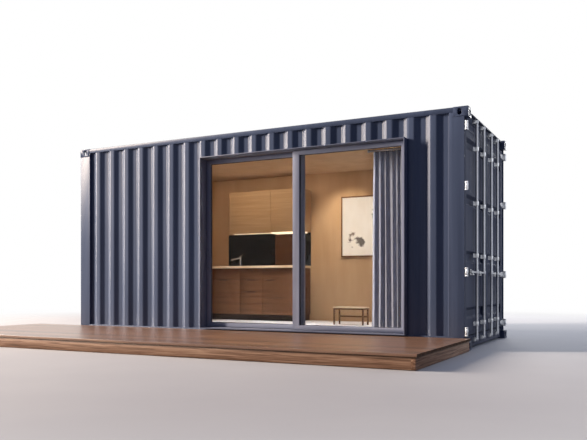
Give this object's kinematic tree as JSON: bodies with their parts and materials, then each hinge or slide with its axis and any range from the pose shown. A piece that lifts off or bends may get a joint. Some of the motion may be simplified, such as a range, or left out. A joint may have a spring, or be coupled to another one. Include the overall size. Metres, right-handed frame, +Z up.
{
  "type": "shipping container cabin",
  "caption": "Steel container cabin with a sliding glass door in a proud surround, working cargo doors at the end, a lined room with kitchen units, and a low timber deck.",
  "frame": {"origin": "middle of the container's base, in the plane of the lower castings' lock slots", "axes": "+X along the container towards the cargo doors, +Y towards its back, +Z up"},
  "size_m": [6.975, 4.548, 2.896],
  "materials": {
    "painted_steel": "satin",
    "galvanised_steel": "satin",
    "rubber_seal": "matte",
    "dark_frame": "satin",
    "clear_glass": "gloss",
    "deck_timber": "satin",
    "plywood": "matte",
    "pale_floor": "satin",
    "room_board": "matte",
    "cabinet_wood": "satin",
    "worktop_stone": "satin",
    "black_glass": "gloss",
    "chrome_tap": "gloss",
    "rail_metal": "satin",
    "grey_cloth": "matte",
    "picture_frame": "matte",
    "table_wood": "satin"
  },
  "bodies": {
    "cabin": {"castings_base": "painted_steel", "castings_top": "painted_steel", "blind_end_posts": "painted_steel", "door_end_posts": "painted_steel", "bottom_side_rails": "painted_steel", "top_side_rails": "painted_steel", "blind_end_rails": "painted_steel", "door_header": "painted_steel", "door_sill": "painted_steel", "floor_cross_members": "painted_steel", "front_wall_left": "painted_steel", "front_wall_right": "painted_steel", "front_wall_head": "painted_steel", "back_wall": "painted_steel", "blind_end_wall": "painted_steel", "roof_sheet": "painted_steel", "hinge_lugs": "galvanised_steel", "lock_keepers": "galvanised_steel", "door_surround": "dark_frame", "slide_tracks": "dark_frame", "fixed_sash": "dark_frame", "fixed_glass": "clear_glass", "deck_boards": "deck_timber", "deck_joists": "deck_timber", "deck_fascia": "deck_timber", "floor_plywood": "plywood", "room_floor": "pale_floor", "ceiling": "room_board", "back_lining_board": "room_board", "blind_end_lining": "room_board", "front_lining_boards": "room_board", "kitchen_base": "cabinet_wood", "kitchen_fronts": "cabinet_wood", "wall_cabinets": "cabinet_wood", "worktop": "worktop_stone", "splashback": "black_glass", "tap": "chrome_tap", "curtain_rail": "rail_metal", "curtain": "grey_cloth", "wall_picture": "picture_frame", "side_table": "table_wood"},
    "sliding_sash": {"sliding_sash": "dark_frame", "sliding_glass": "clear_glass", "sash_handle": "dark_frame"},
    "front_leaf": {"front_leaf": "painted_steel", "front_leaf_gasket": "rubber_seal", "front_leaf_fittings": "galvanised_steel"},
    "back_leaf": {"back_leaf": "painted_steel", "back_leaf_gasket": "rubber_seal", "back_leaf_fittings": "galvanised_steel"},
    "lock_bar_1": {"lock_bar_1": "galvanised_steel"},
    "lock_bar_2": {"lock_bar_2": "galvanised_steel"},
    "lock_bar_3": {"lock_bar_3": "galvanised_steel"},
    "lock_bar_4": {"lock_bar_4": "galvanised_steel"}
  },
  "joints": [
    {"name": "sash_slide", "type": "slide", "parent": "cabin", "child": "sliding_sash", "axis": [1, 0, 0], "range_m": [0, 1.34]},
    {"name": "front_leaf_swing", "type": "hinge", "parent": "cabin", "child": "front_leaf", "pos_m": [3.007, -1.197, 1.45], "axis": [0, 0, -1], "range_deg": [0, 160]},
    {"name": "back_leaf_swing", "type": "hinge", "parent": "cabin", "child": "back_leaf", "pos_m": [3.007, 1.197, 1.45], "axis": [0, 0, 1], "range_deg": [0, 250]},
    {"name": "bar_1_turn", "type": "hinge", "parent": "front_leaf", "child": "lock_bar_1", "pos_m": [3.004, -0.645, 0.94], "axis": [0, 0, -1], "range_deg": [-100, 0]},
    {"name": "bar_2_turn", "type": "hinge", "parent": "front_leaf", "child": "lock_bar_2", "pos_m": [3.004, -0.235, 0.94], "axis": [0, 0, -1], "range_deg": [-100, 0]},
    {"name": "bar_3_turn", "type": "hinge", "parent": "back_leaf", "child": "lock_bar_3", "pos_m": [3.004, 0.235, 0.94], "axis": [0, 0, 1], "range_deg": [-100, 0]},
    {"name": "bar_4_turn", "type": "hinge", "parent": "back_leaf", "child": "lock_bar_4", "pos_m": [3.004, 0.645, 0.94], "axis": [0, 0, 1], "range_deg": [-100, 0]}
  ]
}
